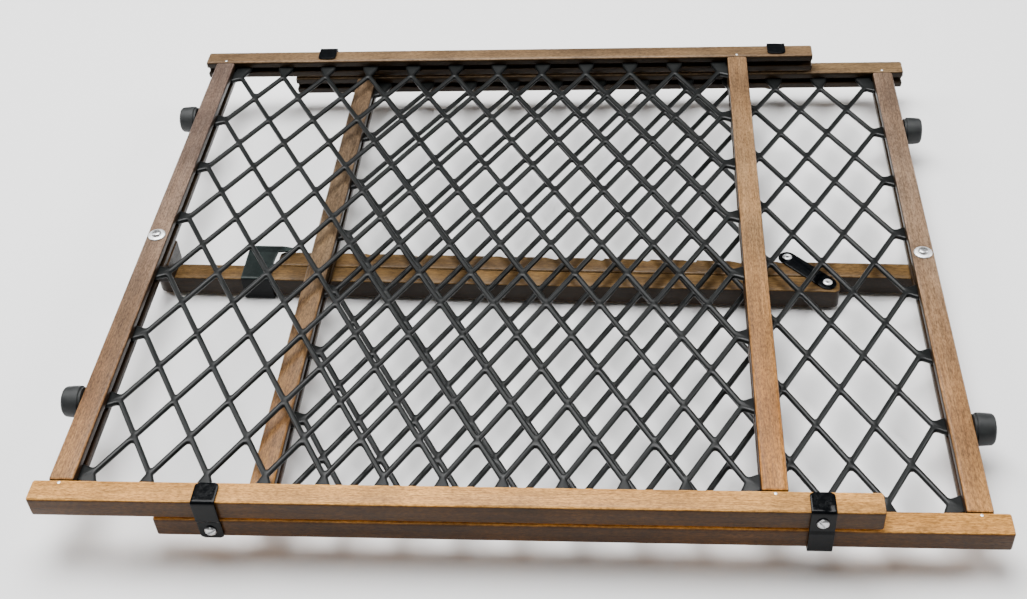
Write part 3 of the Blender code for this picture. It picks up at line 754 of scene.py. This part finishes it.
def collar():
    """The folded sleeve, open on its far side, with a raised lip that goes on to the right as a hood."""
    low, high = bar_box("latch_collar", LEFT_PIVOT)
    half = SHEET / 2
    near, mouth, bottom, ridge = low.y + half, high.y - half, low.z + half, high.z - half
    shoulder = STICK / 2 + 0.8 * MM + half
    ridge_edge = mouth - 9 * MM
    sleeve, hood = 27 * MM, high.x - low.x
    lip = ridge_edge + 2 * MM
    corners = [(mouth, STICK / 2 + 0.5 * MM), (mouth, ridge), (ridge_edge, ridge), (near, shoulder)]
    corners += [(near, bottom), (mouth, bottom)]
    rows, across = [], 24
    for point in sheet_path(corners, 1.6 * MM, 1.2 * MM):
        slope = min(max((point.x - near) / (ridge_edge - near), 0.0), 1.0)
        right = sleeve - 1.5 * MM * math.sin(math.pi * slope)
        if point.y > 0 and point.x > lip:
            right = sleeve + (hood - sleeve) * min((point.x - lip) / (1.2 * MM), 1.0)
        row = []
        for n in range(across + 1):
            along = right * n / across
            droop = 2.5 * MM * max((along - sleeve) / (hood - sleeve), 0.0) ** 2
            row.append((along, point.x, point.y - droop))
        rows.append(row)
    mesh = sheet("latch_collar", rows)
    mesh.transform(bar_frame(LEFT_PIVOT) @ Matrix.Translation((low.x, 0, 0)))
    piece = show("latch_collar_folded", mesh, ENAMEL_WITH_PAINTED_SHEEN, "latch_collar", sharp=30)
    thicken(piece, 0.3 * MM)


def shackle_plates():
    """Two plates with round ends, from the rivet to the catch pin, above and below the bars."""
    reach = (centre_of("catch_pin") - RIVET).xy
    half = 7.5 * MM
    outline = arc((reach.length, 0), half, -90, 90, 20) + arc((0, 0), half, 90, 270, 20)
    for node in ("shackle_top_plate", "shackle_bottom_plate"):
        low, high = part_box(node)
        mesh = slab(node, [outline], high.z - low.z, 0.4 * MM, 2)
        place, turn = (RIVET.x, RIVET.y, (low.z + high.z) / 2), (0, 0, math.atan2(reach.y, reach.x))
        show(node + "_pressed", mesh, ENAMEL, node, place, turn)


# Wood --------------------------------------------------------------------------------------------

# Each wooden piece's grain direction and the tint of its stain. The tints also carry painted light: the near rails
# lighter and warmer, the far rails darker and greyer.
STAINS_AND_PAINTED_LIGHT = {
    "front_near_rail": (0, (1.15, 1.15, 1.05)),
    "front_far_rail": (0, (0.3, 0.38, 0.7)),
    "front_outer_stile": (1, (0.28, 0.4, 0.95)),
    "front_inner_stile": (1, (0.48, 0.58, 0.86)),
    "back_near_rail": (0, (0.98, 0.94, 0.78)),
    "back_far_rail": (0, (0.3, 0.39, 0.7)),
    "back_outer_stile": (1, (0.42, 0.58, 1.2)),
    "back_inner_stile": (1, (0.28, 0.38, 0.68)),
    "strut_bar": (0, (0.26, 0.3, 0.36)),
    "notched_bar": (0, (0.24, 0.28, 0.36)),
    "pivot_spacer": (0, (0.09, 0.1, 0.14)),
}


def stained(node):
    """A node's own stain and painted light, with its grain along the piece and cut from its own place in the log.
    """
    low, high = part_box(node)
    along, tint = STAINS_AND_PAINTED_LIGHT[node]
    count = list(STAINS_AND_PAINTED_LIGHT).index(node)
    shift = (0.37 * count, 0.91 * count, 0.53 * count)
    return wood(node + "_wood", along, shift, tint, (low.z + high.z) / 2, (high.z - low.z) / 2)


def stick(node, start, end, middle, turn, groove):
    """A square stick with rounded arrises and a groove along one side. groove is that side's sign."""
    half, lip, depth = STICK / 2, 2.7 * MM, 6 * MM
    corners = [(-half, -half), (half, -half), (half, -lip), (half - depth, -lip)]
    corners += [(half - depth, lip), (half, lip), (half, half), (-half, half)]
    arris, mouth, root = 3 * MM, 1 * MM, 0.2 * MM
    radii = [arris, arris, mouth, root, root, mouth, arris, arris]
    loop = [(groove * x, y) for x, y in rounded(corners, radii, 6)]
    mesh = slab(node, [loop], end - start, 1.8 * MM, 3)
    mesh.transform(Matrix.Translation(middle) @ Euler(turn).to_matrix().to_4x4())
    show(node + "_planed", mesh, stained(node), node, sharp=35)


def frames():
    """The rails, and the stiles between them. Each stick's groove faces into its frame."""
    for name, outward in (("front", -1), ("back", 1)):
        near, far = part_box(name + "_near_rail"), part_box(name + "_far_rail")
        for side, (low, high), inward in (("near", near, 1), ("far", far, -1)):
            node, turn = f"{name}_{side}_rail", (math.pi / 2, 0, math.pi / 2)
            stick(node, low.x, high.x, (low + high) / 2, turn, inward)
        start, end = near[1].y + FIT, far[0].y - FIT
        for kind, inward in (("outer", -outward), ("inner", outward)):
            node = f"{name}_{kind}_stile"
            low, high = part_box(node)
            stick(node, start, end, (low + high) / 2, (math.pi / 2, 0, 0), inward)


def brads():
    """Brads driven through the rails into the stile ends, their heads just proud."""
    head, shank, under, tip = 1.3 * MM, 0.7 * MM, -0.7 * MM, -14 * MM
    profile = [(0, 0.1 * MM), (head * 0.7, 0.06 * MM), (head, -0.1 * MM), (head, under)]
    profile += [(shank, under), (shank, tip + 0.5 * MM), (0, tip)]
    for name in ("front", "back"):
        for end in ("near", "far"):
            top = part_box(f"{name}_{end}_rail")[1].z
            for kind in ("outer", "inner"):
                node = f"{name}_{end}_{kind}_brad"
                middle = centre_of(node)
                place = (middle.x, middle.y, top)
                show(node + "_driven", turned(node, profile, 20), BRIGHT_ZINC, node, place)


def bars():
    """The two locking bars: the plain one with its blunt end, and the one with ratchet notches."""
    half, nose, edge = BAR_WIDTH / 2, 5 * MM, 1.6 * MM
    reach = bar_box("strut_bar", LEFT_PIVOT)[1].x
    outline = arc((0, 0), half, 90, 270, 24)
    outline += arc((reach - nose, nose - half), nose, -90, 0, 6)
    outline += arc((reach - nose, half - nose), nose, 0, 90, 6)
    bar("strut_bar", outline, LEFT_PIVOT, edge)
    pitch, count, depth, seat = 40 * MM, 10, 2.6 * MM, 2.6 * MM
    reach = bar_box("notched_bar", RIGHT_PIVOT)[0].x
    first = (bar_frame(RIGHT_PIVOT).inverted() @ centre_of("catch_pin")).x
    outline = arc((0, 0), half, -90, 90, 24)
    for n in range(count):
        x = first - n * pitch
        outline += arc((x, half - depth + seat), seat, 0, -90, 6) + [(x - 3.4 * seat, half)]
    outline += arc((reach + nose, half - nose), nose, 90, 180, 6)
    outline += arc((reach + nose, nose - half), nose, 180, 270, 6)
    bar("notched_bar", outline, RIGHT_PIVOT, edge)


def bar(node, outline, pivot, edge):
    """A bar from its outline in its own frame."""
    mesh = slab(node, [outline], STICK, edge, 3)
    mesh.transform(bar_frame(pivot))
    show(node + "_planed", mesh, stained(node), node, sharp=35)


def dress(node, material):
    """A carried-over CAD node in a new material."""
    mesh = frame["nodes"][node].data
    mesh.materials.clear()
    mesh.materials.append(material)


# Room --------------------------------------------------------------------------------------------


def room():
    """A pale floor, dim light all round and three softboxes."""
    mesh = bpy.data.meshes.new("floor")
    shape = bmesh.new()
    bmesh.ops.create_grid(shape, x_segments=1, y_segments=1, size=12)
    shape.to_mesh(mesh)
    shape.free()
    floor = bpy.data.objects.new("floor", mesh)
    bpy.context.scene.collection.objects.link(floor)
    floor.location.z = -0.0002
    paint = Shading("floor_paint", 0.9, Specular_IOR_Level=0.1)
    cloud = paint.noise(paint.stretched(), 2, 2)
    mesh.materials.append(paint.finish(paint.ramp(cloud, (0.0, 0.84), (1.0, 0.88))))

    world = bpy.data.worlds.new("studio")
    bpy.context.scene.world = world
    world.use_nodes = True
    background = world.node_tree.nodes["Background"]
    background.inputs["Color"].default_value = (1, 1, 1, 1)
    background.inputs["Strength"].default_value = 0.2

    for name, place, size, power in (
        ("overhead_softbox", (-0.25, 0.45, 2.1), 1.6, 125),
        ("left_softbox", (-2.1, 0.4, 1.5), 0.9, 32),
        ("right_softbox", (2.1, 0.5, 1.5), 0.9, 32),
    ):
        light = bpy.data.lights.new(name, "AREA")
        light.size = size
        light.energy = power
        lamp = bpy.data.objects.new(name, light)
        bpy.context.scene.collection.objects.link(lamp)
        lamp.location = place
        lamp.rotation_euler = (-Vector(place)).to_track_quat("-Z", "Y").to_euler()


def camera():
    """The viewing angle from above the near rail, a little right of the middle."""
    lens = bpy.data.cameras.new("camera")
    lens.sensor_width = 36
    lens.lens = 48.785
    view = bpy.data.objects.new("camera", lens)
    bpy.context.scene.collection.objects.link(view)
    turn = Matrix.Rotation(0.8257, 4, "X") @ Matrix.Rotation(0.0907, 4, "Y")
    turn = turn @ Matrix.Rotation(0.003, 4, "Z")
    view.matrix_world = Matrix.Translation((0.09139, -0.90064, 0.81959)) @ turn
    bpy.context.scene.camera = view


camera()
room()
frames()
bars()
brads()
dress("pivot_spacer", stained("pivot_spacer"))
for lattice_node in ("front_lattice", "back_lattice"):
    lattice(lattice_node)
clips()
clip_screws()
pivot_hardware()
rivets()
bumpers()
collar()
shackle_plates()
for plain_node in BODY_OF:
    if plain_node.endswith(("_nut", "_bumper_screw")):
        dress(plain_node, ZINC)
